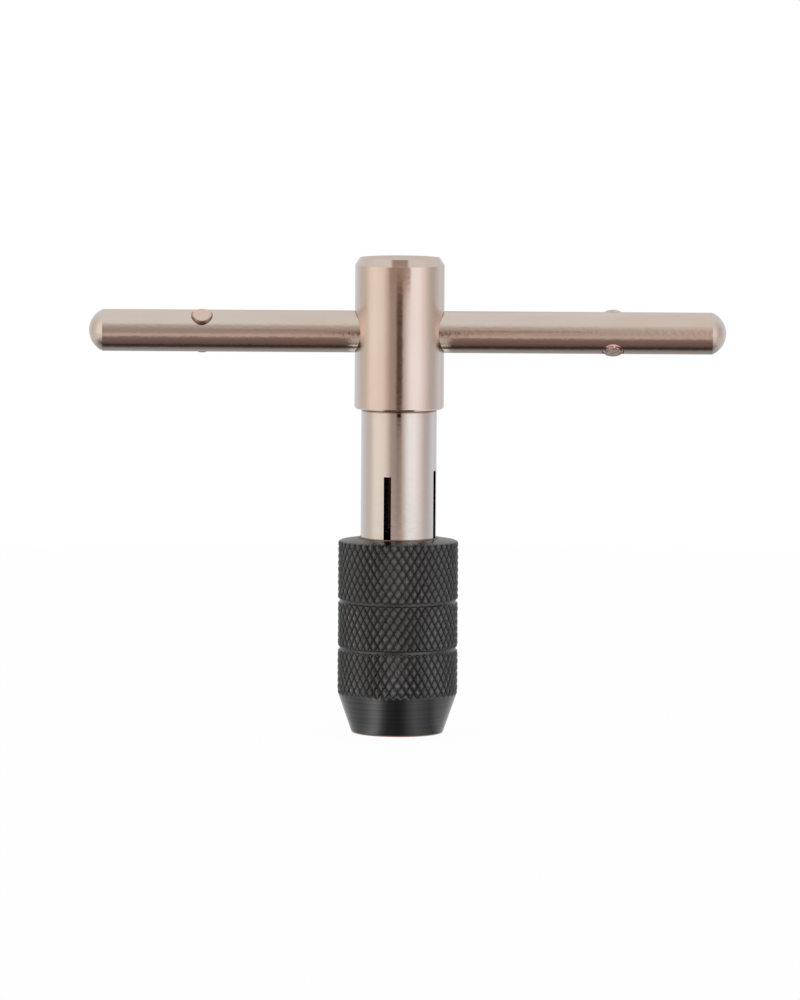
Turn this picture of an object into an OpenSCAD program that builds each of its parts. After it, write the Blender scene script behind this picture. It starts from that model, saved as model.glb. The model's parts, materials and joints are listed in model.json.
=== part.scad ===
// Sliding T-handle tap wrench. Four spring fingers, split from the end of the body, are
// closed on the square of a tap by a taper inside the screwed, knurled sleeve.
// Millimetres. The origin is the centre of the nose face, +Z runs up the tool's axis to
// the head, and the bar lies along X. Threads are drawn as plain effective cylinders.

/* [Sleeve] */
// Length of the sleeve, from the nose face to the inner edge of the mouth
sleeve_l = 29.6; // [27:0.1:32]
// Diameter over the crests of the knurl
sleeve_d = 18.2; // [17.6:0.1:22]
// Diameter of the flat nose face
nose_d = 13.8; // [12:0.1:15]
// Height of the smooth outer cone above the nose face
nose_cone_h = 6.3; // [4:0.1:7]
// Bore in the nose, which the shank of a tap passes
nose_bore_d = 7.2; // [6.9:0.1:7.6]
// Length of the straight land in the nose bore
nose_land = 0.8; // [0.5:0.1:1.2]
// Slope of the closing taper inside the sleeve, degrees a side
taper_angle = 12; // [11:0.5:13]
// Bore between the closing taper and the thread
core_bore_d = 9.9; // [9.8:0.1:10.1]
// How much lower than the inner edge the coned face of the mouth ends at the rim
mouth_fall = 0.4; // [0:0.1:0.8]
// Rounding of the rim round the mouth
mouth_round = 0.4; // [0.3:0.1:1]
// Heights of the two grip grooves above the nose face
groove_zs = [12.9, 20.1];
// Width of a grip groove at the surface
groove_w = 0.7; // [0.5:0.1:1.2]
// Depth of a grip groove below the knurl's crests
groove_depth = 0.3; // [0.2:0.05:0.6]

/* [Chuck thread] */
// Effective diameter of the thread that closes the chuck
thread_d = 10.3; // [10.2:0.1:10.6]
// Radial running clearance in the thread
thread_gap = 0.05; // [0.03:0.01:0.1]
// Height of the top of the body's thread above the nose face
thread_top = 26.0; // [25.5:0.1:26.5]
// Length of the body's thread, with its run-out groove
thread_l = 7.4; // [6.5:0.1:8]
// Width of the run-out groove at the top of the thread
runout_w = 0.8; // [0.5:0.1:1.2]
// Depth of the run-out groove below the effective diameter
runout_depth = 0.35; // [0.2:0.05:0.5]
// Pitch of the thread
thread_pitch = 1.27; // [1:0.01:1.3]
// Turns of the sleeve that close the chuck
closing_turns = 2.25; // [1:0.05:2.25]

/* [Body] */
// Diameter of the plain shank
shank_d = 11.4; // [11.2:0.1:12]
// Length of shank that shows between the sleeve and the head
shank_show = 19.6; // [18:0.1:24]
// Bore drilled up through the shank, which frees the fingers
shank_bore_d = 6.5; // [6:0.1:6.6]
// How far the drilled bore runs past the slots
bore_past_slots = 1.0; // [0.5:0.1:3]
// Point angle of the drill, as the slope of its tip in degrees
drill_slope = 31; // [29:1:45]
// Width of the four slots
slot_w = 1.15; // [1.05:0.05:1.2]
// Length of the front and back slots that shows above the sleeve
slot_show = 9.6; // [6:0.1:14]
// How much further the left and right slots are cut
slot_step = 0.7; // [0:0.1:1.5]
// Angle of the right slot about the tool's axis
slot_angle = -17.3; // [-45:0.1:45]
// Diameter of the head
head_d = 13.5; // [12.6:0.1:16]
// Length of the head
head_l = 22.8; // [20:0.1:26]
// Radial width of the chamfer round the top of the head
head_chamfer = 0.7; // [0.3:0.1:1.2]
// Height of that chamfer
head_chamfer_h = 1.1; // [0.3:0.1:2]
// Broken edge at the head's lower shoulder
shoulder_break = 0.25; // [0.1:0.05:0.5]

/* [Collet fingers] */
// How far the finger tips lie inside the nose face
tip_recess = 1.0; // [0.8:0.1:1.4]
// Length of the conical land on a finger's tip
tip_land = 3.5; // [3:0.1:4]
// Radial gap between the land and the sleeve's taper when the chuck is open
tip_gap = 0.19; // [0.19:0.01:0.3]
// Size of the square socket across its flats, chuck open
socket_af = 5.0; // [4.6:0.1:5.2]
// Depth of the square socket
socket_depth = 8.0; // [6:0.1:10]
// Radial depth of the lead-in at the socket's mouth
lead_in = 0.5; // [0.2:0.1:0.7]
// How far a finger's thick root lies under the thread's effective surface
root_inset = 0.45; // [0.3:0.05:0.5]
// Length of a finger's thick root
root_l = 2.4; // [1.5:0.1:4]
// Gap across which a finger flexes against the body
flex_gap = 0.2; // [0.15:0.05:0.3]

/* [Bar] */
// Diameter of the sliding bar
bar_d = 6.35; // [5.5:0.05:6.6]
// Length of the bar over its domed ends
bar_l = 96.2; // [85:0.1:120]
// Height of each domed end
dome_h = 2.1; // [1:0.1:2.6]
// Height of the bar's axis above the head's lower shoulder
bar_up = 11.6; // [9:0.1:13]
// Where the bar's middle rests, to the right of the tool's axis
bar_shift = 1.2; // [-10:0.1:10]
// Radial running clearance of the bar in the head
bar_gap = 0.09; // [0.03:0.01:0.1]
// How deep the flared mouths of the bar's bore reach into the head
flare_depth = 1.2; // [0.8:0.1:2]
// Slope of the flared mouths, degrees from the bar's axis
flare_angle = 5; // [3:1:25]

/* [Stop pins] */
// Diameter of the stop pins
stop_d = 3.3; // [2.4:0.1:3.6]
// Distance of each stop pin from the bar's middle
stop_x = 31.0; // [20:0.1:38]
// How far a stop pin stands out of the bar at each end
stop_out = 0.1; // [0.05:0.05:0.6]
// Bevel at the ends of a stop pin
stop_bevel = 0.3; // [0.1:0.05:0.4]
// Radial interference of the stop pins in the bar
stop_press = 0.01; // [0.005:0.005:0.02]
// Tilt of the left stop pin from upright, about the bar
stop_tilt_left = 40; // [0:1:180]
// Tilt of the right stop pin from upright, about the bar
stop_tilt_right = -30; // [-180:1:0]

/* [Guide ring] */
// Height of the ring's flange
ring_h = 0.8; // [0.5:0.1:1.2]
// Depth of the sleeve's groove that carries the ring, beyond the mouth's bore
ring_groove = 0.55; // [0.4:0.05:0.9]
// Thickness of the ring's lip, which hugs the shank
lip_t = 0.25; // [0.2:0.05:0.4]
// How far the lip shows above the sleeve's mouth
lip_show = 0.12; // [0:0.02:0.3]
// Thickness of the sleeve's edge over the ring
mouth_edge = 0.5; // [0.4:0.1:1]
// Running clearance round the ring
ring_gap = 0.06; // [0.03:0.01:0.1]
// Opening of the split in the ring, degrees
ring_split = 24; // [10:1:40]
// Clearance each side of the ring's key in its slot
key_gap = 0.1; // [0.05:0.01:0.2]
// How far the key reaches into the slot, below the shank's surface
key_depth = 1.2; // [0.6:0.1:2]

/* [Friction set] */
// Diameter of the friction ball
ball_d = 3.175; // [2.5:0.005:3.5]
// Clearance of the ball in its hole and over the bar
ball_gap = 0.05; // [0.02:0.01:0.1]
// Diameter of the spring's wire
wire_d = 0.4; // [0.3:0.05:0.5]
// Mean diameter of the spring's coils
coil_d = 2.1; // [1.8:0.1:2.4]
// Number of turns in the spring
turns = 5; // [3:0.5:7]
// Length of the spring between the middles of its end wires
spring_l = 5.0; // [4:0.1:6]
// Diameter of the grub screw
grub_d = 4.0; // [3.8:0.1:4.6]
// Length of the grub screw
grub_l = 2.6; // [2.4:0.1:2.8]
// Size of the grub screw's hexagon socket across its flats
grub_af = 2.0; // [1.5:0.1:2.2]
// Depth of the hexagon socket
grub_socket = 1.4; // [1:0.1:1.6]
// Radial clearance of the grub screw in its hole
grub_gap = 0.03; // [0.01:0.01:0.1]
// Bevel of the grub screw's ends
grub_bevel = 0.3; // [0.1:0.05:0.4]

/* [Hidden] */
$fn = 64;
eps = 0.01; // overshoot of the cuts

// How far the sleeve screws up to close the chuck
travel = thread_pitch * closing_turns;

// Heights along the tool's axis
shoulder_z = sleeve_l + shank_show;
head_top = shoulder_z + head_l;
bar_z = shoulder_z + bar_up;
thread_bottom = thread_top - thread_l;
finger_top = thread_bottom - flex_gap;
slot_top = sleeve_l + slot_show;
bore_top = slot_top + slot_step + bore_past_slots;

// Radii of the sleeve's inside, from the nose to the mouth
nose_bore_r = nose_bore_d / 2;
core_bore_r = core_bore_d / 2;
taper_top = nose_land + (core_bore_r - nose_bore_r) / tan(taper_angle);
sleeve_thread_r = thread_d / 2 + thread_gap;
thread_zone_bottom = thread_bottom - travel - root_l;
thread_zone_top = thread_top - travel - flex_gap;
shank_r = shank_d / 2;
lip_r = shank_r + ring_gap + lip_t;
mouth_bore_r = lip_r + ring_gap;
ring_groove_r = mouth_bore_r + ring_groove;
ring_top = sleeve_l - mouth_edge - ring_gap;
ring_bottom = ring_top - ring_h;

// Radii of a finger
function taper_r(z) = nose_bore_r + (z - nose_land) * tan(taper_angle);
tip_r = taper_r(tip_recess) - tip_gap;
arm_r = taper_r(tip_recess + tip_land) - tip_gap;
root_r = thread_d / 2 - root_inset;

// The bar and its stops
bar_r = bar_d / 2;
bar_bore_r = bar_r + bar_gap;
dome_r = (bar_r * bar_r + dome_h * dome_h) / (2 * dome_h);
head_r = head_d / 2;

// The friction set, stacked down from the bar
ball_r = ball_d / 2;
ball_z = bar_z - bar_r - ball_gap - ball_r;
spring_seat = sqrt(pow(ball_r + wire_d / 2, 2) - pow(coil_d / 2, 2));
spring_bottom = ball_z - spring_seat - spring_l;
grub_top = spring_bottom - wire_d / 2;

wide = 2 * (sleeve_d + head_d); // wider than the tool
long = 2 * head_top; // longer than the tool

// A cylinder with a bevel at each end
module bevelled_rod(r, h, bevel) {
    rotate_extrude()
        polygon([[0, 0], [r - bevel, 0], [r, bevel], [r, h - bevel], [r - bevel, h], [0, h]]);
}

// A prism of 4 or 6 flats, af across them
module flats(count, af, h) {
    linear_extrude(h) circle(d = af / cos(180 / count), $fn = count);
}

// The two crossed slots, each cut right through from the tips up to its own height
module slots() {
    for (cut = [[0, slot_top + slot_step], [90, slot_top]])
        rotate([0, 0, slot_angle + cut[0]])
            translate([-wide / 2, -slot_w / 2, 0]) cube([wide, slot_w, cut[1]]);
}

// Head, shank and thread, turned from one bar
module body_blank() {
    rotate_extrude()
        polygon([
            [0, thread_bottom],
            [thread_d / 2, thread_bottom],
            [thread_d / 2, thread_top - runout_w],
            [thread_d / 2 - runout_depth, thread_top - runout_w + runout_depth],
            [thread_d / 2 - runout_depth, thread_top],
            [shank_r, thread_top],
            [shank_r, shoulder_z],
            [head_r - shoulder_break, shoulder_z],
            [head_r, shoulder_z + shoulder_break],
            [head_r, head_top - head_chamfer_h],
            [head_r - head_chamfer, head_top],
            [0, head_top]
        ]);
}

// The drilled bore with its conical end
module drilled_bore() {
    tip_h = shank_bore_d / 2 * tan(drill_slope);
    cylinder(d = shank_bore_d, h = bore_top);
    translate([0, 0, bore_top]) cylinder(d1 = shank_bore_d, d2 = 0, h = tip_h);
}

// The bar's bore across the head, flared at both mouths
module bar_bore() {
    flare_out = (flare_depth + eps) * tan(flare_angle);
    translate([0, 0, bar_z]) {
        rotate([0, 90, 0]) cylinder(r = bar_bore_r, h = wide, center = true);
        for (side = [-1, 1])
            translate([side * (head_r - flare_depth), 0, 0])
                rotate([0, side * 90, 0])
                    cylinder(r1 = bar_bore_r, r2 = bar_bore_r + flare_out, h = flare_depth + eps);
    }
}

// The stepped hole for the friction set, up from the drilled bore to the bar's bore
module friction_hole() {
    cylinder(r = grub_d / 2 + grub_gap, h = grub_top);
    cylinder(r = ball_r + ball_gap, h = bar_z);
}

module body() {
    color([0.83, 0.74, 0.67])
        difference() {
            body_blank();
            drilled_bore();
            slots();
            bar_bore();
            friction_hole();
        }
}

// The four fingers before they are parted: root, thin arm and conical tip
module finger_ring() {
    rotate_extrude()
        polygon([
            [0, tip_recess],
            [tip_r, tip_recess],
            [arm_r, tip_recess + tip_land],
            [arm_r, finger_top - root_l - (root_r - arm_r)],
            [root_r, finger_top - root_l],
            [root_r, finger_top],
            [0, finger_top]
        ]);
}

// The square socket, its lead-in and the drilled bore above it
module tap_socket() {
    lead_h = 2 * lead_in;
    translate([0, 0, tip_recess - eps]) {
        rotate([0, 0, slot_angle]) flats(4, socket_af, socket_depth);
        cylinder(r1 = socket_af / 2 + lead_in, r2 = socket_af / 2 - eps, h = lead_h);
    }
    translate([0, 0, tip_recess + socket_depth - 2 * eps]) cylinder(d = shank_bore_d, h = long);
}

// One quarter of the ring, between two neighbouring slots
module collet_finger(quarter) {
    color([0.80, 0.74, 0.69])
        intersection() {
            difference() {
                finger_ring();
                tap_socket();
            }
            rotate([0, 0, slot_angle + 90 * quarter])
                translate([slot_w / 2, slot_w / 2, 0]) cube([wide, wide, long]);
        }
}

// Outline of the sleeve's grip groove at height z, cut to depth with sloping sides
function groove_outline(z) = [
    [sleeve_d / 2, z - groove_w / 2],
    [sleeve_d / 2 - groove_depth, z - groove_w / 4],
    [sleeve_d / 2 - groove_depth, z + groove_w / 4],
    [sleeve_d / 2, z + groove_w / 2]
];

// Outside of the sleeve, upwards, then its inside, downwards
module sleeve_outline() {
    rim_z = sleeve_l - mouth_fall;
    rim_arc = [for (a = [0:15:90])
        [sleeve_d / 2 - mouth_round * (1 - cos(a)), rim_z - mouth_round * (1 - sin(a))]];
    outside = concat(
        [[nose_d / 2, 0], [sleeve_d / 2, nose_cone_h]],
        [for (z = groove_zs) each groove_outline(z)],
        rim_arc
    );
    inside = [
        [mouth_bore_r, sleeve_l],
        [mouth_bore_r, ring_top + ring_gap],
        [ring_groove_r, ring_top + ring_gap],
        [ring_groove_r, ring_bottom - ring_gap],
        [mouth_bore_r, ring_bottom - ring_gap],
        [mouth_bore_r, thread_zone_top],
        [sleeve_thread_r, thread_zone_top],
        [sleeve_thread_r, thread_zone_bottom],
        [core_bore_r, thread_zone_bottom],
        [core_bore_r, taper_top],
        [nose_bore_r, nose_land],
        [nose_bore_r, 0]
    ];
    polygon(concat(outside, inside));
}

module chuck_sleeve() {
    color([0.22, 0.22, 0.22]) rotate_extrude() sleeve_outline();
}

// Split bronze ring: its flange runs in the sleeve's groove and its key in the rear slot
module guide_ring() {
    inner_r = shank_r + ring_gap;
    key_w = slot_w - 2 * key_gap;
    color([0.62, 0.40, 0.26]) {
        difference() {
            rotate_extrude()
                polygon([
                    [inner_r, ring_bottom],
                    [ring_groove_r - ring_gap, ring_bottom],
                    [ring_groove_r - ring_gap, ring_top],
                    [lip_r, ring_top],
                    [lip_r, sleeve_l + lip_show],
                    [inner_r, sleeve_l + lip_show]
                ]);
            rotate([0, 0, slot_angle - 90 - ring_split / 2 - 180])
                split_wedge();
        }
        rotate([0, 0, slot_angle + 180])
            translate([shank_r - key_depth, -key_w / 2, ring_bottom])
                cube([key_depth + ring_gap + lip_t / 2, key_w, ring_h]);
    }
}

// The narrow wedge that opens the ring
module split_wedge() {
    linear_extrude(long)
        polygon([[0, 0], [wide, 0], [wide * cos(ring_split), wide * sin(ring_split)]]);
}

// Cross hole or pin through the bar, side is -1 on the left and 1 on the right
module at_stop(side) {
    tilt = side < 0 ? stop_tilt_left : stop_tilt_right;
    translate([bar_shift + side * stop_x, 0, bar_z]) rotate([tilt, 0, 0]) children();
}

module domed_end() {
    intersection() {
        translate([0, 0, dome_h - dome_r]) sphere(r = dome_r);
        cylinder(r = bar_r, h = dome_h + eps);
    }
}

module sliding_bar() {
    straight = bar_l - 2 * dome_h;
    color([0.80, 0.71, 0.64])
        difference() {
            translate([bar_shift, 0, bar_z]) {
                rotate([0, 90, 0]) cylinder(r = bar_r, h = straight, center = true);
                for (side = [-1, 1])
                    translate([side * straight / 2, 0, 0]) rotate([0, side * 90, 0]) domed_end();
            }
            for (side = [-1, 1])
                at_stop(side) cylinder(r = stop_d / 2 - stop_press, h = 2 * bar_d, center = true);
        }
}

module stop_pin(side) {
    pin_l = bar_d + 2 * stop_out;
    color([0.78, 0.68, 0.61])
        at_stop(side)
            translate([0, 0, -pin_l / 2]) bevelled_rod(stop_d / 2, pin_l, stop_bevel);
}

module friction_ball() {
    color([0.75, 0.75, 0.77]) translate([0, 0, ball_z]) sphere(r = ball_r);
}

// Points of the round wire, ring by ring along the helix
wire_sides = 8;
steps_per_turn = 16;
wire_rings = turns * steps_per_turn;
function wire_point(ring, side) =
    let (a = 360 * ring / steps_per_turn, s = 360 * side / wire_sides)
    let (r = coil_d / 2 + wire_d / 2 * cos(s))
    [r * cos(a), r * sin(a), spring_bottom + spring_l * ring / wire_rings + wire_d / 2 * sin(s)];

module friction_spring() {
    points = [for (ring = [0:wire_rings], side = [0:wire_sides - 1]) wire_point(ring, side)];
    skin = [for (ring = [0:wire_rings - 1], side = [0:wire_sides - 1])
        let (next = (side + 1) % wire_sides, up = wire_sides)
        [ring * up + side, ring * up + up + side, ring * up + up + next, ring * up + next]];
    start_cap = [for (side = [0:wire_sides - 1]) side];
    end_cap = [for (side = [wire_sides - 1:-1:0]) wire_rings * wire_sides + side];
    color([0.62, 0.63, 0.65]) polyhedron(points, concat([start_cap], skin, [end_cap]));
}

module grub_screw() {
    color([0.30, 0.30, 0.32])
        translate([0, 0, grub_top - grub_l])
            difference() {
                bevelled_rod(grub_d / 2, grub_l, grub_bevel);
                translate([0, 0, -eps]) flats(6, grub_af, grub_socket + eps);
            }
}

body();
collet_finger(0);  // collet_finger_1
collet_finger(1);  // collet_finger_2
collet_finger(2);  // collet_finger_3
collet_finger(3);  // collet_finger_4
chuck_sleeve();
guide_ring();
sliding_bar();
stop_pin(-1);  // stop_pin_left
stop_pin(1);  // stop_pin_right
friction_ball();
friction_spring();
grub_screw();
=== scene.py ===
import json
import math

import bpy
import numpy as np
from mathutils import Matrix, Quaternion, Vector

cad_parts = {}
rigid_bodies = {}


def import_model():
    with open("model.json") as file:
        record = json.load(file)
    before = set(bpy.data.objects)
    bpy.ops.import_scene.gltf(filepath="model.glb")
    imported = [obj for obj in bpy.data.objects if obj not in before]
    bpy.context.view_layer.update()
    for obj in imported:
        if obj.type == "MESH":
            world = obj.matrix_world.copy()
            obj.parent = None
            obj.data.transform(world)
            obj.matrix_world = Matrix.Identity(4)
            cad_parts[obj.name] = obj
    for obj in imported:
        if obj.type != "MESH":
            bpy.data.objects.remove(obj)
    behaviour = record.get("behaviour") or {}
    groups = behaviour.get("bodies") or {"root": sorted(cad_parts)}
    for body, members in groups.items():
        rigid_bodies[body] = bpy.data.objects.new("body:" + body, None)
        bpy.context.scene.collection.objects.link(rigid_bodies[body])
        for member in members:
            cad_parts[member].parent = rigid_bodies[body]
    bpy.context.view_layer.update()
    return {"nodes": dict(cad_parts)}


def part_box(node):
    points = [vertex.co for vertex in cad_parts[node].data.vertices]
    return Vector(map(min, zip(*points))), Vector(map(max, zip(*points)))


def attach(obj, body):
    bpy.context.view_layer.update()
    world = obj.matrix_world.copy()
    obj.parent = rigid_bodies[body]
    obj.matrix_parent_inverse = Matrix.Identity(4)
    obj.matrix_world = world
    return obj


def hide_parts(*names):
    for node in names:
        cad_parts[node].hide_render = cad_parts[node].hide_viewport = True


for leftover in list(bpy.data.objects):
    bpy.data.objects.remove(leftover)

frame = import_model()
mm = 0.001
print("frame loaded:", len(frame["nodes"]), "nodes")

# camera: a long lens, a little above the tool and rolled by a fraction of a degree

camera = {
    "lookAt": (0.22 * mm, 0.0, 35.3 * mm),
    "distance": 1.21,
    "elevation": 5.1,
    "roll": 0.36,
    "lens": 288,
    "sensor": 36,
    "clip": (0.01, 50),
}


def placeCamera(values):
    # The camera stands on a circle round lookAt and looks back at it; roll turns it about its own view
    data = bpy.data.cameras.new("camera")
    data.lens = values["lens"]
    data.sensor_width = values["sensor"]
    data.clip_start, data.clip_end = values["clip"]
    eye = bpy.data.objects.new("camera", data)
    bpy.context.scene.collection.objects.link(eye)
    tilt = math.radians(values["elevation"])
    outward = Vector((0, -math.cos(tilt), math.sin(tilt)))
    turn = (-outward).to_track_quat("-Z", "Y") @ Quaternion((0, 0, 1), math.radians(values["roll"]))
    eye.location = Vector(values["lookAt"]) + values["distance"] * outward
    eye.rotation_mode = "QUATERNION"
    eye.rotation_quaternion = turn
    bpy.context.scene.camera = eye


placeCamera(camera)
bpy.context.scene.view_settings.view_transform = "Standard"
print("camera placed")

# nodes for materials

greyEnds = (0.3, 0.7)  # where on the noise a grey ramp starts and ends


def surfaceMaterial(name):
    material = bpy.data.materials.new(name)
    material.use_nodes = True
    tree = material.node_tree
    tree.nodes.clear()
    output = tree.nodes.new("ShaderNodeOutputMaterial")
    shader = tree.nodes.new("ShaderNodeBsdfPrincipled")
    tree.links.new(shader.outputs["BSDF"], output.inputs["Surface"])
    return material, tree, shader


def places(tree):
    # Object coordinates as three numbers, in metres
    coords = tree.nodes.new("ShaderNodeTexCoord")
    axes = tree.nodes.new("ShaderNodeSeparateXYZ")
    tree.links.new(coords.outputs["Object"], axes.inputs["Vector"])
    return axes.outputs["X"], axes.outputs["Y"], axes.outputs["Z"]


def combine(tree, operation, a, b=None):
    node = tree.nodes.new("ShaderNodeMath")
    node.operation = operation
    for socket, value in zip(node.inputs, (a, b)):
        if isinstance(value, (int, float)):
            socket.default_value = value
        elif value is not None:
            tree.links.new(value, socket)
    return node.outputs["Value"]


def times(tree, first, *others):
    for other in others:
        first = combine(tree, "MULTIPLY", first, other)
    return first


def lengthOf(tree, a, b):
    # Square root of a * a + b * b
    return combine(tree, "SQRT", combine(tree, "ADD", times(tree, a, a), times(tree, b, b)))


def fade(tree, value, low, high):
    # 0 at low, 1 at high and a soft S between them
    node = tree.nodes.new("ShaderNodeMapRange")
    node.interpolation_type = "SMOOTHSTEP"
    node.inputs["From Min"].default_value = low
    node.inputs["From Max"].default_value = high
    tree.links.new(value, node.inputs["Value"])
    return node.outputs["Result"]


def noise(tree, scale, detail):
    # Noise on Object coordinates, with its own number of waves a metre along each axis
    coords = tree.nodes.new("ShaderNodeTexCoord")
    mapping = tree.nodes.new("ShaderNodeMapping")
    mapping.inputs["Scale"].default_value = scale
    grain = tree.nodes.new("ShaderNodeTexNoise")
    grain.inputs["Scale"].default_value = 1.0
    grain.inputs["Detail"].default_value = detail
    tree.links.new(coords.outputs["Object"], mapping.inputs["Vector"])
    tree.links.new(mapping.outputs["Vector"], grain.inputs["Vector"])
    return grain.outputs["Fac"]


def ramp(tree, value, stops):
    node = tree.nodes.new("ShaderNodeValToRGB")
    elements = node.color_ramp.elements
    while len(elements) < len(stops):
        elements.new(0.5)
    for element, (place, colour) in zip(elements, stops):
        element.position = place
        element.color = (*colour, 1.0)
    tree.links.new(value, node.inputs["Fac"])
    return node.outputs["Color"]


def greyRamp(tree, value, low, high):
    start, end = greyEnds
    return ramp(tree, value, [(start, (low,) * 3), (end, (high,) * 3)])


def mixColour(tree, factor, a, b):
    node = tree.nodes.new("ShaderNodeMix")
    node.data_type = "RGBA"
    sockets = {socket.name: socket for socket in node.inputs if socket.enabled}
    for name, value in (("Factor", factor), ("A", a), ("B", b)):
        if isinstance(value, (int, float)):
            sockets[name].default_value = value
        elif isinstance(value, tuple):
            sockets[name].default_value = (*value, 1.0)
        else:
            tree.links.new(value, sockets[name])
    return [socket for socket in node.outputs if socket.enabled][0]


def roughen(tree, shader, height, depth):
    node = tree.nodes.new("ShaderNodeBump")
    node.inputs["Strength"].default_value = 1.0
    node.inputs["Distance"].default_value = depth
    tree.links.new(height, node.inputs["Height"])
    tree.links.new(node.outputs["Normal"], shader.inputs["Normal"])


# nickel plate on turned and drawn steel

plate = {
    "warm": (0.80, 0.67, 0.585),
    "pale": (0.81, 0.72, 0.655),
    "silver": (0.80, 0.75, 0.71),
    # painted shade colour, for the corner under the head and the punch dot
    "cornerShade": (0.12, 0.075, 0.055),
    # bare steel inside the bore and slots, dark also as painted shade
    "inside": (0.06, 0.03, 0.022),
    "roughness": (0.125, 0.18),
    "tintEnds": (0.36, 0.64),
    "tintDetail": 3.0,
}


def plateTint(tree, waves):
    # The plate drifts between its warm and its pale tone
    drift = noise(tree, waves, plate["tintDetail"])
    start, end = plate["tintEnds"]
    return ramp(tree, drift, [(start, plate["warm"]), (end, plate["pale"])])


def finishPlate(tree, shader, colour, lines, pits):
    # lines are tool marks and pits are the slight unevenness of the plate. Each is given as waves a
    # metre along each axis, detail, and depth in metres
    lineWaves, lineDetail, lineDepth = lines
    pitWaves, pitDetail, pitDepth = pits
    marks = noise(tree, lineWaves, lineDetail)
    unevenness = times(tree, noise(tree, pitWaves, pitDetail), pitDepth / lineDepth)
    tree.links.new(colour, shader.inputs["Base Color"])
    tree.links.new(greyRamp(tree, marks, *plate["roughness"]), shader.inputs["Roughness"])
    shader.inputs["Metallic"].default_value = 1.0
    roughen(tree, shader, combine(tree, "ADD", marks, unevenness), lineDepth)


body = {
    "shankTop": 49.2 * mm,
    "headRadius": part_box("body")[1].x,
    "boreRadius": 5.55 * mm,
    "boreTop": 43 * mm,
    "silverFade": 1.5 * mm,
    "cornerShadeFade": (0.5 * mm, 0.1 * mm),
    "cornerInset": 0.6 * mm,
    "cornerLap": 0.05 * mm,
    "punch": (0.0, 0.68 * mm, 0.42 * mm),  # off the middle, below the head, radius
    "punchCore": 0.4,
    "tintWaves": (150, 150, 60),
    "lines": ((70, 70, 7000), 3.0, 0.0000006),
    "pits": ((700, 700, 1100), 2.0, 0.000012),
}


def turnedPlate(name, values):
    # Warm on the head and more silver on the shank, with painted shade in the corner under the head
    # and a dark dot of painted shade below it where a punch mark is, which the mesh doesn't dent. Inside
    # the drilled bore and the slots, where no plate reaches, the steel is dark, and this dark is also
    # painted shade
    material, tree, shader = surfaceMaterial(name)
    x, y, z = places(tree)
    radius = lengthOf(tree, x, y)
    top = values["shankTop"]
    colour = plateTint(tree, values["tintWaves"])
    colour = mixColour(tree, fade(tree, z, top, top - values["silverFade"]), colour, plate["silver"])
    # painted shade: a dark band on the shank and the head's underside just below the shoulder
    cornerStart, cornerEnd = values["cornerShadeFade"]
    cornerShade = times(tree, fade(tree, z, top - cornerStart, top - cornerEnd),
                   combine(tree, "LESS_THAN", radius, values["headRadius"] - values["cornerInset"]),
                   combine(tree, "LESS_THAN", z, top + values["cornerLap"]))
    # painted shade: a dark dot on the front of the shank for a punch mark that the mesh doesn't dent
    punchX, punchDrop, punchRadius = values["punch"]
    punchShade = lengthOf(tree, combine(tree, "SUBTRACT", z, top - punchDrop),
                    combine(tree, "SUBTRACT", x, punchX))
    punchShade = times(tree, fade(tree, punchShade, punchRadius, values["punchCore"] * punchRadius),
                 combine(tree, "LESS_THAN", y, 0.0))
    colour = mixColour(tree, combine(tree, "MAXIMUM", cornerShade, punchShade), colour, plate["cornerShade"])
    # dark inside the bore and slots: unplated steel, darkened further as painted shade
    unplatedAndShaded = times(tree, combine(tree, "LESS_THAN", radius, values["boreRadius"]),
                   combine(tree, "LESS_THAN", z, values["boreTop"]))
    colour = mixColour(tree, unplatedAndShaded, colour, plate["inside"])
    finishPlate(tree, shader, colour, values["lines"], values["pits"])
    return material


bar = {
    "middle": 1.2 * mm,
    "domeFade": (45.7 * mm, 46.5 * mm),
    "tintWaves": (50, 190, 190),
    "lines": ((120, 420, 420), 3.0, 0.000006),
    "pits": ((1500, 1900, 1900), 3.0, 0.000026),
}


def drawnPlate(name, values):
    # Long faint streaks along the bar; the domed ends are paler
    material, tree, shader = surfaceMaterial(name)
    x, y, z = places(tree)
    off = combine(tree, "ABSOLUTE", combine(tree, "SUBTRACT", x, values["middle"]))
    dome = fade(tree, off, *values["domeFade"])
    colour = mixColour(tree, dome, plateTint(tree, values["tintWaves"]), plate["pale"])
    finishPlate(tree, shader, colour, values["lines"], values["pits"])
    return material


pin = {
    "height": 60.8 * mm,
    # the rim fades place a painted shadow, in the shade colour, along the lower half of the face's rim
    "rim": (1.1 * mm, 1.5 * mm),
    "rimShadeFade": (0.35 * mm, -0.75 * mm),
    "shade": (0.22, 0.16, 0.13),
    # warm tone painted on one end's face, standing in for a warm reflection there
    "warm": (0.93, 0.65, 0.55),
    "tintWaves": (300, 300, 300),
    "dentDetail": 1.0,
    "pits": ((2500, 2500, 2500), 2.0, 0.000006),
    # place along the bar, tilt in degrees, 1 where the upper end carries the painted warm tone and -1
    # where the lower end does, waves a metre and depth of the hammer marks, share of the warm tone
    "left": (-29.8 * mm, 40, 1, 1100, 0.0001, 0.4),
    "right": (32.2 * mm, -30, -1, 1500, 0.00028, 0.75),
}


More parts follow.
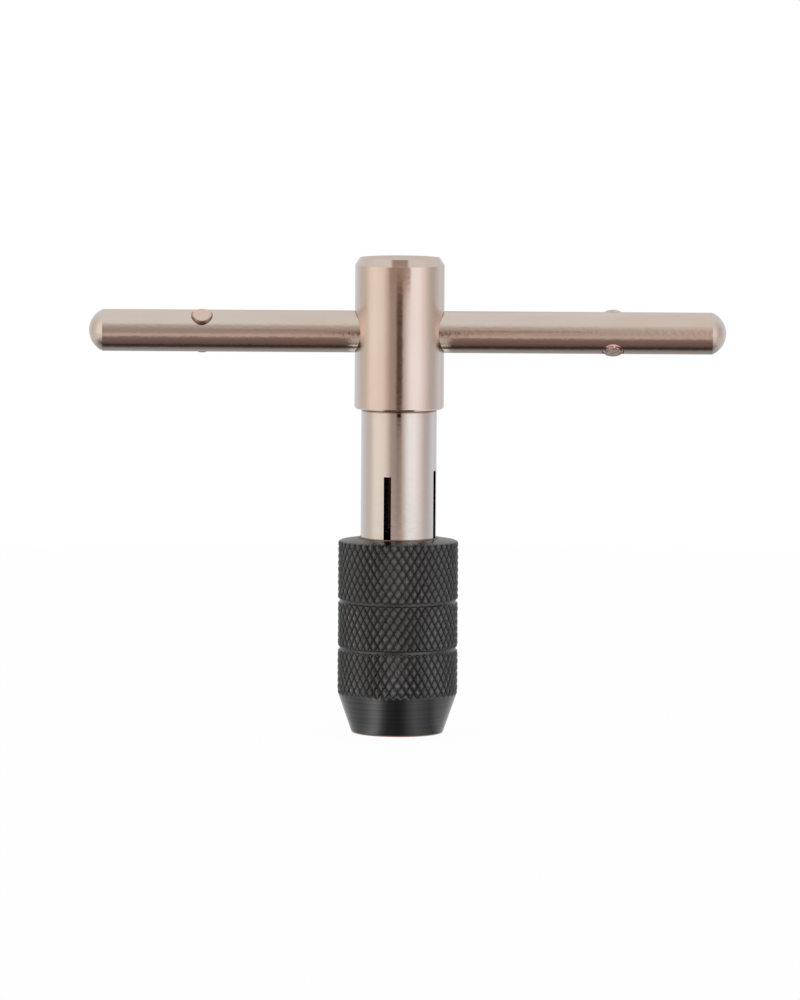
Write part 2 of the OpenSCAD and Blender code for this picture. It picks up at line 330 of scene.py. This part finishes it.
def pinPlate(name, values, which):
    # Peened ends: hammer marks on the face, a painted shadow on the lower half of the face's rim, and a
    # warmer tone painted on one end's face as a reflection
    place, tilt, facing, dentWaves, dentDepth, warmReflectionShare = values[which]
    material, tree, shader = surfaceMaterial(name)
    x, y, z = places(tree)
    lift = combine(tree, "SUBTRACT", z, values["height"])
    turn = math.radians(tilt)
    side = combine(tree, "ADD", times(tree, y, math.cos(turn)), times(tree, lift, math.sin(turn)))
    along = combine(tree, "SUBTRACT", times(tree, lift, math.cos(turn)), times(tree, y, math.sin(turn)))
    radius = lengthOf(tree, combine(tree, "SUBTRACT", x, place), side)
    # painted reflection: one end's face is given a warmer tone
    wearAndTintMask = combine(tree, "GREATER_THAN", times(tree, along, facing), 0.0)
    tint = plateTint(tree, values["tintWaves"])
    colour = mixColour(tree, times(tree, wearAndTintMask, warmReflectionShare), tint, values["warm"])
    # painted shadow along the lower half of the face's rim
    wearAndShade = times(tree, fade(tree, radius, *values["rim"]),
                 fade(tree, times(tree, side, facing), *values["rimShadeFade"]))
    colour = mixColour(tree, wearAndShade, colour, values["shade"])
    finishPlate(tree, shader, colour, ((dentWaves,) * 3, values["dentDetail"], dentDepth), values["pits"])
    return material


oxide = {
    "colour": (0.104, 0.104, 0.105),
    "ring": (0.080, 0.080, 0.081),
    "flank": (0.099, 0.101, 0.104),
    # painted shade in the knurl grooves
    "groove": (0.034, 0.0345, 0.0355),
    # lighter tone where the oxide is rubbed off the crests
    "wearAndShade": (0.220, 0.223, 0.228),
    "bare": (0.34, 0.16, 0.09),
    "edge": 0.14 * mm,
    "coneFade": (0.1 * mm, -0.3 * mm),  # from the bottom of the knurl
    "blotchFade": (0.28, 0.66),
    "crestFade": (0.66, 1.0),
    "grooveFade": (0.42, 0.06),
    "ringFade": (0.4, 0.65),
    "ringDepth": 0.000003,
    # waves a metre along each axis, detail
    "rings": ((40, 40, 5000), 3.0),
    "blotches": ((420, 420, 420), 4.0),
    "grain": ((2600, 2600, 2600), 3.0),
    "coneRoughness": (0.17, 0.23),
    "knurlRoughness": (0.22, 0.32),
}


def blackOxide(name, knurlBottom, values):
    # Black oxide: turning marks round the cone, painted shade in the knurl grooves with rubbed crests
    # between them, bare at the nose's edge. The piece's own attribute crest is 0 in a groove, 1 on a
    # crest
    material, tree, shader = surfaceMaterial(name)
    x, y, z = places(tree)
    coneStart, coneEnd = values["coneFade"]
    cone = fade(tree, z, knurlBottom + coneStart, knurlBottom + coneEnd)
    rings = noise(tree, *values["rings"])
    pattern = tree.nodes.new("ShaderNodeAttribute")
    pattern.attribute_name = "crest"
    crest = pattern.outputs["Fac"]
    blotches = fade(tree, noise(tree, *values["blotches"]), *values["blotchFade"])
    wearAndTintMask = times(tree, blotches, fade(tree, crest, *values["crestFade"]))
    colour = mixColour(tree, wearAndTintMask, values["flank"], values["wearAndShade"])
    # painted shade: the knurl grooves are darkened by the crest attribute
    colour = mixColour(tree, fade(tree, crest, *values["grooveFade"]), colour, values["groove"])
    turned = mixColour(tree, fade(tree, rings, *values["ringFade"]), values["ring"], values["colour"])
    colour = mixColour(tree, cone, colour, turned)
    colour = mixColour(tree, combine(tree, "LESS_THAN", z, values["edge"]), colour, values["bare"])
    tree.links.new(colour, shader.inputs["Base Color"])
    grain = noise(tree, *values["grain"])
    spread = mixColour(tree, cone, greyRamp(tree, grain, *values["knurlRoughness"]),
                       greyRamp(tree, grain, *values["coneRoughness"]))
    tree.links.new(spread, shader.inputs["Roughness"])
    shader.inputs["Metallic"].default_value = 1.0
    roughen(tree, shader, times(tree, rings, cone), values["ringDepth"])
    return material


plain = {
    "dullShare": 0.85,
    "ends": (0.2, 0.8),
    "depth": 0.000002,
    "detail": 3.0,
    # colour, roughness, waves a metre along each axis
    "fingerNickel": (plate["silver"], (0.2, 0.3), (70, 70, 5000)),
    "bronze": ((0.40, 0.30, 0.23), (0.3, 0.45), (60, 60, 5000)),
    "hardSteel": ((0.62, 0.62, 0.63), (0.12, 0.22), (3000, 3000, 3000)),
    "screwSteel": ((0.06, 0.06, 0.065), (0.3, 0.5), (2500, 2500, 2500)),
}


def plainMetal(name, values):
    # One metal, duller in the hollows of its tool marks
    colour, roughness, waves = values[name]
    material, tree, shader = surfaceMaterial(name)
    lines = noise(tree, waves, values["detail"])
    dull = tuple(values["dullShare"] * part for part in colour)
    start, end = values["ends"]
    tree.links.new(ramp(tree, lines, [(start, dull), (end, colour)]), shader.inputs["Base Color"])
    tree.links.new(greyRamp(tree, lines, *roughness), shader.inputs["Roughness"])
    shader.inputs["Metallic"].default_value = 1.0
    roughen(tree, shader, lines, values["depth"])
    return material


def dress(material, *nodes):
    for node in nodes:
        frame["nodes"][node].material_slots[0].material = material


sleeveCone = 6.3 * mm
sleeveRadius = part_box("chuck_sleeve")[1].y

oxideBlack = blackOxide("oxideBlack", sleeveCone, oxide)
dress(turnedPlate("turnedNickel", body), "body")
dress(plainMetal("fingerNickel", plain), "collet_finger_1", "collet_finger_2", "collet_finger_3",
      "collet_finger_4")
dress(plainMetal("bronze", plain), "guide_ring")
dress(drawnPlate("drawnNickel", bar), "sliding_bar")
dress(pinPlate("leftPinNickel", pin, "left"), "stop_pin_left")
dress(pinPlate("rightPinNickel", pin, "right"), "stop_pin_right")
dress(plainMetal("hardSteel", plain), "friction_ball", "friction_spring")
dress(plainMetal("screwSteel", plain), "grub_screw")
print("materials made")

# meshes


def buildMesh(name, points, corners, material):
    # points is n by 3, corners is m by 3 or m by 4, counter-clockwise seen from outside
    mesh = bpy.data.meshes.new(name)
    mesh.vertices.add(len(points))
    mesh.vertices.foreach_set("co", points.astype(np.float32).ravel())
    mesh.loops.add(corners.size)
    mesh.loops.foreach_set("vertex_index", corners.astype(np.int32).ravel())
    mesh.polygons.add(len(corners))
    mesh.polygons.foreach_set("loop_start", np.arange(0, corners.size, corners.shape[1], dtype=np.int32))
    mesh.update(calc_edges=True)
    mesh.validate()
    mesh.polygons.foreach_set("use_smooth", np.ones(len(mesh.polygons), dtype=bool))
    mesh.materials.append(material)
    piece = bpy.data.objects.new(name, mesh)
    bpy.context.scene.collection.objects.link(piece)
    return piece


sleeve = {
    "radius": sleeveRadius / mm,
    "length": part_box("chuck_sleeve")[1].z / mm,
    "noseRadius": 6.9,
    "coneHeight": sleeveCone / mm,
    "starts": 46,
    "repeat": 1.98,
    "perDiamond": 12,
    "knurlLap": 0.9,
    "knurlShort": 0.08,
    "coneRows": 12,
    "depth": 0.2,
    "flat": 0.2,
    "uneven": (0.34, 2, 26.0, 0.6),  # share, waves round the sleeve, rise of a wave, start
    "grooves": (12.9, 20.1),
    "grooveWidth": 0.7,
    "grooveDepth": 0.3,
    "runOut": 0.04,
    "plainCrest": 0.6,
    "mouthFall": 0.4,
    "mouthRound": 0.4,
    "mouthRadius": 6.07,
    "ringGroove": (28.18, 29.1, 6.62),
    "threadZone": (13.34, 22.94, 5.2),
    "core": 4.95,
    "noseBore": 3.6,
    "noseLand": 0.8,
    "taperTop": 7.15,
    "noseBreak": 0.1,
    "sharpAngle": 24,
}


def knurlRidges(theta, z, values):
    # Two crossed sets of helical ridges, each 0 in its groove and 1 on its crest. Where one wheel
    # pressed harder its ridges stand steeper and the other's flatter, by a slow wave round and
    # along the sleeve
    around = values["starts"] * theta / (2 * math.pi)
    along = z / values["repeat"]
    right = 2 * np.abs((around + along + 0.5) % 1.0 - 0.5)
    left = 2 * np.abs((around - along + 0.5) % 1.0 - 0.5)
    share, waves, rise, start = values["uneven"]
    press = share * np.sin(waves * theta + 2 * math.pi * z / rise + start)
    return np.minimum(right * (1 + press), 1.0), np.minimum(left * (1 - press), 1.0)


def sleeveLimit(z, values):
    # Radius of the smooth outside at height z: the lowest of cone, rounded mouth and grip grooves
    slope = (values["radius"] - values["noseRadius"]) / values["coneHeight"]
    cone = values["noseRadius"] + slope * z - np.where(z < values["noseBreak"], values["noseBreak"], 0.0)
    rimStart = values["length"] - values["mouthFall"] - values["mouthRound"]
    away = np.clip(z - rimStart, 0, values["mouthRound"])
    mouth = values["radius"] - values["mouthRound"] + np.sqrt(values["mouthRound"] ** 2 - away ** 2)
    limit = np.minimum(cone, mouth)
    quarter = values["grooveWidth"] / 4
    for centre in values["grooves"]:
        off = np.abs(z - centre)
        cut = values["grooveDepth"] * np.clip(2 - off / quarter, 0, 1)
        limit = np.where(off < 2 * quarter, np.minimum(limit, values["radius"] - cut), limit)
    return limit


def makeSleeve(values):
    # A closed profile carried round the axis: up the cone and the knurl, over the mouth and down
    # the inside. Radius = the lower of the smooth outside and radius - depth * (1 - ridge), where
    # ridge is the lower of the two crossed ridges with its crest cut flat. The attribute crest is
    # the product of the two ridges, each rounded to a quarter of a sine wave
    columns = values["starts"] * values["perDiamond"]
    theta = np.arange(columns) * 2 * math.pi / columns
    step = values["repeat"] / values["perDiamond"]
    bottom = values["coneHeight"] - values["knurlLap"]
    rim = values["length"] - values["mouthFall"]
    top = rim - values["knurlShort"]
    knurlZ = np.arange(math.ceil(bottom / step), math.floor(top / step) + 1) * step
    coneZ = np.linspace(values["noseBreak"], knurlZ[0] - step, values["coneRows"])
    outerZ = np.concatenate([[0.0], coneZ, knurlZ])
    right, left = knurlRidges(theta[None, :], outerZ[:, None], values)
    ridge = np.minimum(np.minimum(right, left) / (1 - values["flat"]), 1.0)
    knurl = values["radius"] - values["depth"] * (1 - ridge)
    limit = sleeveLimit(outerZ, values)[:, None]
    outside = np.minimum(knurl, limit)
    crest = np.sin(right * math.pi / 2) * np.sin(left * math.pi / 2)
    crest = np.where(knurl < limit + values["runOut"], crest, values["plainCrest"])

    grooveLow, grooveHigh, grooveRadius = values["ringGroove"]
    screwLow, screwHigh, screwRadius = values["threadZone"]
    inside = np.array([
        (values["radius"] - values["mouthRound"], rim),
        (values["mouthRadius"], values["length"]),
        (values["mouthRadius"], grooveHigh), (grooveRadius, grooveHigh),
        (grooveRadius, grooveLow), (values["mouthRadius"], grooveLow),
        (values["mouthRadius"], screwHigh), (screwRadius, screwHigh),
        (screwRadius, screwLow), (values["core"], screwLow),
        (values["core"], values["taperTop"]), (values["noseBore"], values["noseLand"]),
        (values["noseBore"], values["noseBreak"]), (values["noseBore"] + values["noseBreak"], 0.0),
    ])
    z = np.concatenate([outerZ, inside[:, 1]])
    radius = np.concatenate([outside, np.repeat(inside[:, :1], columns, axis=1)])
    height = np.repeat(z[:, None], columns, axis=1)
    points = np.stack([radius * np.cos(theta), radius * np.sin(theta), height], axis=-1)

    rows = len(z)
    i, j = np.meshgrid(np.arange(rows), np.arange(columns), indexing="ij")
    up, on = (i + 1) % rows, (j + 1) % columns
    a, b, c, d = i * columns + j, i * columns + on, up * columns + on, up * columns + j
    # each square is split along the ridge or the groove that crosses it
    right, left = knurlRidges(theta[None, :] + math.pi / columns, z[:, None] + step / 2, values)
    slanted = (right < left)[..., None]
    first = np.where(slanted, np.stack([a, b, d], -1), np.stack([a, b, c], -1))
    second = np.where(slanted, np.stack([b, c, d], -1), np.stack([a, c, d], -1))
    corners = np.concatenate([first.reshape(-1, 3), second.reshape(-1, 3)])
    piece = buildMesh("knurledSleeve", points.reshape(-1, 3) * mm, corners, oxideBlack)
    crest = np.concatenate([crest, np.full((len(inside), columns), values["plainCrest"])])
    pattern = piece.data.attributes.new("crest", "FLOAT", "POINT")
    pattern.data.foreach_set("value", crest.astype(np.float32).ravel())
    piece.data.set_sharp_from_angle(angle=math.radians(values["sharpAngle"]))
    return piece


knurledSleeve = makeSleeve(sleeve)
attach(knurledSleeve, "sleeve")
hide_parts("chuck_sleeve")
print("sleeve made:", len(knurledSleeve.data.polygons), "faces")

# studio: a white floor inside a round tent of soft grey bands, with small cards near the tool

studio = {
    "floorSize": 12.0,
    "floorDrop": 0.05 * mm,
    "floorColour": (0.92, 0.92, 0.92),
    "floorGlow": (0.97, 1.0),
    "floorFade": (0.03, 0.6),
    "wallRadius": 0.30,
    "wallHeight": 0.55,
    "roofHole": 0.0001,
    "wallFade": (0.09, 0.40),
    "ceiling": (0.74, 0.73, 0.72),
    "apron": (0.0071, 0.298),
    "apronPlain": (0.62, 0.60, 0.59),
    "apronShare": 0.6,
    "apronLift": 0.1 * mm,
    "apronFade": (0.018, 0.055),
    # (degrees to the right of the camera's side, colour)
    "wallBands": [
        (-180, (0.60, 0.53, 0.48)), (-160, (0.70, 0.73, 0.77)), (-145, (0.70, 0.72, 0.76)),
        (-130, (0.65, 0.66, 0.68)), (-110, (0.60, 0.56, 0.53)), (-95, (0.66, 0.59, 0.53)),
        (-79, (0.91, 0.82, 0.74)), (-66, (0.94, 0.86, 0.79)), (-42, (0.84, 0.75, 0.67)),
        (-31, (0.62, 0.51, 0.45)), (-23, (0.41, 0.32, 0.285)), (-11, (0.35, 0.28, 0.25)),
        (5, (0.42, 0.34, 0.30)), (11, (0.51, 0.42, 0.37)), (20, (0.78, 0.73, 0.71)),
        (30, (1.0, 0.97, 0.99)), (50, (1.03, 0.98, 1.0)), (66, (0.84, 0.75, 0.74)),
        (84, (0.55, 0.49, 0.47)), (98, (0.51, 0.48, 0.47)), (126, (0.71, 0.72, 0.77)),
        (145, (0.62, 0.64, 0.67)), (160, (0.72, 0.74, 0.77)), (180, (0.60, 0.53, 0.48)),
    ],
    "noseBands": [
        (-180, (0.80,) * 3), (-105, (0.75,) * 3), (-76, (0.62,) * 3), (-60, (0.58,) * 3),
        (-48, (0.86,) * 3), (-37, (1.30,) * 3), (-30, (1.15,) * 3), (-22, (0.45,) * 3),
        (-14, (0.19,) * 3), (0, (0.13,) * 3), (8, (0.19,) * 3), (16, (0.42,) * 3),
        (27, (0.72,) * 3), (40, (0.53,) * 3), (54, (0.38,) * 3), (72, (0.80,) * 3),
        (110, (0.85,) * 3), (180, (0.80,) * 3),
    ],
}


def emitter(name):
    material = bpy.data.materials.new(name)
    material.use_nodes = True
    tree = material.node_tree
    tree.nodes.clear()
    output = tree.nodes.new("ShaderNodeOutputMaterial")
    glow = tree.nodes.new("ShaderNodeEmission")
    tree.links.new(glow.outputs["Emission"], output.inputs["Surface"])
    return material, tree, glow, output


def stageCard(name, points, corners, material, diffuse=False):
    # Part of the studio: it lights or is mirrored, and the camera doesn't see it
    card = buildMesh(name, points, corners, material)
    card.visible_camera = False
    card.visible_shadow = False
    card.visible_diffuse = diffuse


def azimuthBands(tree, bands):
    # Colour by the angle round the tool, 0 on the camera's side
    x, y, z = places(tree)
    turn = combine(tree, "ARCTAN2", x, combine(tree, "MULTIPLY", y, -1.0))
    share = combine(tree, "ADD", combine(tree, "DIVIDE", turn, 2 * math.pi), 0.5)
    return ramp(tree, share, [((degrees + 180) / 360, colour) for degrees, colour in bands])


def makeFloor(values):
    half = values["floorSize"] / 2
    points = np.array([(-half, -half, 0), (half, -half, 0), (half, half, 0), (-half, half, 0)])
    material = bpy.data.materials.new("floor")
    material.use_nodes = True
    tree = material.node_tree
    tree.nodes.clear()
    output = tree.nodes.new("ShaderNodeOutputMaterial")
    matt = tree.nodes.new("ShaderNodeBsdfDiffuse")
    matt.inputs["Color"].default_value = (*values["floorColour"], 1)
    glow = tree.nodes.new("ShaderNodeEmission")
    blend = tree.nodes.new("ShaderNodeMixShader")
    path = tree.nodes.new("ShaderNodeLightPath")
    seen = combine(tree, "MAXIMUM", path.outputs["Is Camera Ray"], path.outputs["Is Glossy Ray"])
    seen = combine(tree, "MAXIMUM", seen, path.outputs["Is Transmission Ray"])
    x, y, z = places(tree)
    away = lengthOf(tree, x, y)
    near, far = values["floorGlow"]
    share = combine(tree, "ADD", near, times(tree, fade(tree, away, *values["floorFade"]), far - near))
    tree.links.new(times(tree, seen, share), blend.inputs["Fac"])
    tree.links.new(matt.outputs["BSDF"], blend.inputs[1])
    tree.links.new(glow.outputs["Emission"], blend.inputs[2])
    tree.links.new(blend.outputs["Shader"], output.inputs["Surface"])
    floor = buildMesh("floor", points, np.array([[0, 1, 2, 3]]), material)
    floor.location = (0, 0, -values["floorDrop"])


def ringGrid(innerRadius, outerRadius, low, high, segments=180):
    # A band round the axis from (innerRadius, low) to (outerRadius, high)
    turn = np.arange(segments) * 2 * math.pi / segments
    around = np.stack([np.sin(turn), -np.cos(turn)], -1)
    inner = np.concatenate([innerRadius * around, np.full((segments, 1), low)], axis=1)
    outer = np.concatenate([outerRadius * around, np.full((segments, 1), high)], axis=1)
    j = np.arange(segments)
    on = (j + 1) % segments
    return np.concatenate([inner, outer]), np.stack([j, j + segments, on + segments, on], -1)


def makeTent(values):
    material, tree, glow, output = emitter("tentWall")
    x, y, z = places(tree)
    colour = mixColour(tree, fade(tree, z, *values["wallFade"]), azimuthBands(tree, values["wallBands"]),
                       values["ceiling"])
    tree.links.new(colour, glow.inputs["Color"])
    radius, height = values["wallRadius"], values["wallHeight"]
    stageCard("tentWall", *ringGrid(radius, radius, 0, height), material, diffuse=True)
    material, tree, glow, output = emitter("tentRoof")
    glow.inputs["Color"].default_value = (*values["ceiling"], 1)
    stageCard("tentRoof", *ringGrid(values["roofHole"], radius, height, height), material, diffuse=True)


def makeApron(values):
    # Lies on the floor inside the tent and is only mirrored by the metal
    material, tree, glow, output = emitter("apron")
    x, y, z = places(tree)
    away = lengthOf(tree, x, y)
    outer = mixColour(tree, values["apronShare"], azimuthBands(tree, values["wallBands"]),
                      values["apronPlain"])
    inner = azimuthBands(tree, values["noseBands"])
    colour = mixColour(tree, fade(tree, away, *values["apronFade"]), inner, outer)
    tree.links.new(colour, glow.inputs["Color"])
    stageCard("apron", *ringGrid(*values["apron"], values["apronLift"], values["apronLift"]), material)


cards = {
    "distance": 60,
    "lineHalfWidth": 7.6,
    "lineZ": (26, 65),
    "lineFade": (39.5, 44.5),
    "lineFaint": 0.3,
    "lineColour": (0.085, 0.045, 0.033),
    "crownHalfWidth": 30,
    "crownZ": (64.6, 72),
    "crownColour": (0.35, 0.25, 0.2),
    "hoodHalfWidth": 3.3,
    "hoodY": (-11, -7),
    "hoodZ": 78,
    "hoodColour": (0.36, 0.27, 0.22),
    "benchY": (-296, -105),
    "benchZ": 0.2,
    "benchEnd": (82, 66),
    "benchColour": (0.54, 0.43, 0.385),
    "armX": (6.8, 62),
    "armStart": (6.9, 8.0),
    "armEnd": (60, 48),
    "armDrop": 8.3,
    "armFacing": (0.70, 0.50),
    "armBands": [
        (-17, (0.33, 0.25, 0.225)), (-14, (0.26, 0.19, 0.17)), (-10, (0.20, 0.137, 0.122)),
        (-7, (0.17, 0.115, 0.105)), (-4.6, (0.13, 0.09, 0.08)), (-3.1, (0.03, 0.02, 0.015)),
        (-1.4, (0.07, 0.055, 0.05)), (0.6, (0.28, 0.28, 0.27)), (3, (0.33, 0.35, 0.36)),
        (12, (0.38, 0.40, 0.42)),
    ],
}


def uprightCard(name, halfWidth, heights, distance, material):
    low, high = heights
    corners = [(-halfWidth, low), (halfWidth, low), (halfWidth, high), (-halfWidth, high)]
    points = np.array([(x, -distance, z) for x, z in corners]) * mm
    stageCard(name, points, np.array([[0, 1, 2, 3]]), material)


def thinOut(tree, glow, output, share):
    # The card is there where share is 1 and clear where it is 0
    clear = tree.nodes.new("ShaderNodeBsdfTransparent")
    blend = tree.nodes.new("ShaderNodeMixShader")
    tree.links.new(share, blend.inputs["Fac"])
    tree.links.new(clear.outputs["BSDF"], blend.inputs[1])
    tree.links.new(glow.outputs["Emission"], blend.inputs[2])
    tree.links.new(blend.outputs["Shader"], output.inputs["Surface"])


def makeLineCard(values):
    # A thin dark card, fainter downwards: the head mirrors it as one dark line that the shank carries on
    material, tree, glow, output = emitter("lineCard")
    glow.inputs["Color"].default_value = (*values["lineColour"], 1)
    x, y, z = places(tree)
    low, high = values["lineFade"]
    share = combine(tree, "MAXIMUM", fade(tree, z, low * mm, high * mm), values["lineFaint"])
    thinOut(tree, glow, output, share)
    uprightCard("lineCard", values["lineHalfWidth"], values["lineZ"], values["distance"], material)


def makeCrownCard(values):
    material, tree, glow, output = emitter("crownCard")
    glow.inputs["Color"].default_value = (*values["crownColour"], 1)
    uprightCard("crownCard", values["crownHalfWidth"], values["crownZ"], values["distance"], material)


def levelCard(name, left, right, depths, z, material):
    near, far = depths
    points = np.array([(left, near, z), (right, near, z), (right, far, z), (left, far, z)]) * mm
    stageCard(name, points, np.array([[0, 1, 2, 3]]), material)


def makeHoodCard(values):
    # A small level card above and in front of the head, mirrored in its bevel
    material, tree, glow, output = emitter("hoodCard")
    glow.inputs["Color"].default_value = (*values["hoodColour"], 1)
    half = values["hoodHalfWidth"]
    levelCard("hoodCard", -half, half, values["hoodY"], values["hoodZ"], material)


def makeBenchCard(values):
    # Lies on the floor well in front: the bar mirrors it just below its middle
    material, tree, glow, output = emitter("benchCard")
    glow.inputs["Color"].default_value = (*values["benchColour"], 1)
    x, y, z = places(tree)
    end, start = values["benchEnd"]
    thinOut(tree, glow, output, fade(tree, combine(tree, "ABSOLUTE", x), end * mm, start * mm))
    levelCard("benchCard", -end, end, values["benchY"], values["benchZ"], material)


def makeArmCards(values, barHeight):
    # Level strips under the bar's two arms, dark in the middle: they shade its underside. They
    # are clear to rays that graze them, so the head's sides don't mirror them
    near, far = values["armBands"][0][0], values["armBands"][-1][0]
    inner, outer = values["armX"]
    z = barHeight / mm - values["armDrop"]
    for side, name in ((-1, "leftArmCard"), (1, "rightArmCard")):
        material, tree, glow, output = emitter(name)
        x, y, height = places(tree)
        share = combine(tree, "DIVIDE", combine(tree, "SUBTRACT", y, near * mm), (far - near) * mm)
        stops = [((place - near) / (far - near), colour) for place, colour in values["armBands"]]
        tree.links.new(ramp(tree, share, stops), glow.inputs["Color"])
        grazing = tree.nodes.new("ShaderNodeLayerWeight").outputs["Facing"]
        reach = combine(tree, "DIVIDE", combine(tree, "ABSOLUTE", x), mm)
        thinOut(tree, glow, output, times(tree, fade(tree, reach, *values["armStart"]),
                                          fade(tree, reach, *values["armEnd"]),
                                          fade(tree, grazing, *values["armFacing"])))
        xs = sorted((side * inner, side * outer))
        levelCard(name, xs[0], xs[1], (near, far), z, material)


def makeWorld():
    world = bpy.data.worlds.new("studio")
    bpy.context.scene.world = world
    world.use_nodes = True
    tree = world.node_tree
    tree.nodes.clear()
    output = tree.nodes.new("ShaderNodeOutputWorld")
    sky = tree.nodes.new("ShaderNodeBackground")
    sky.inputs["Color"].default_value = (1, 1, 1, 1)
    tree.links.new(sky.outputs["Background"], output.inputs["Surface"])


makeFloor(studio)
makeTent(studio)
makeApron(studio)
makeLineCard(cards)
makeCrownCard(cards)
makeHoodCard(cards)
makeBenchCard(cards)
makeArmCards(cards, (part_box("sliding_bar")[0].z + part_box("sliding_bar")[1].z) / 2)
makeWorld()
print("studio made")
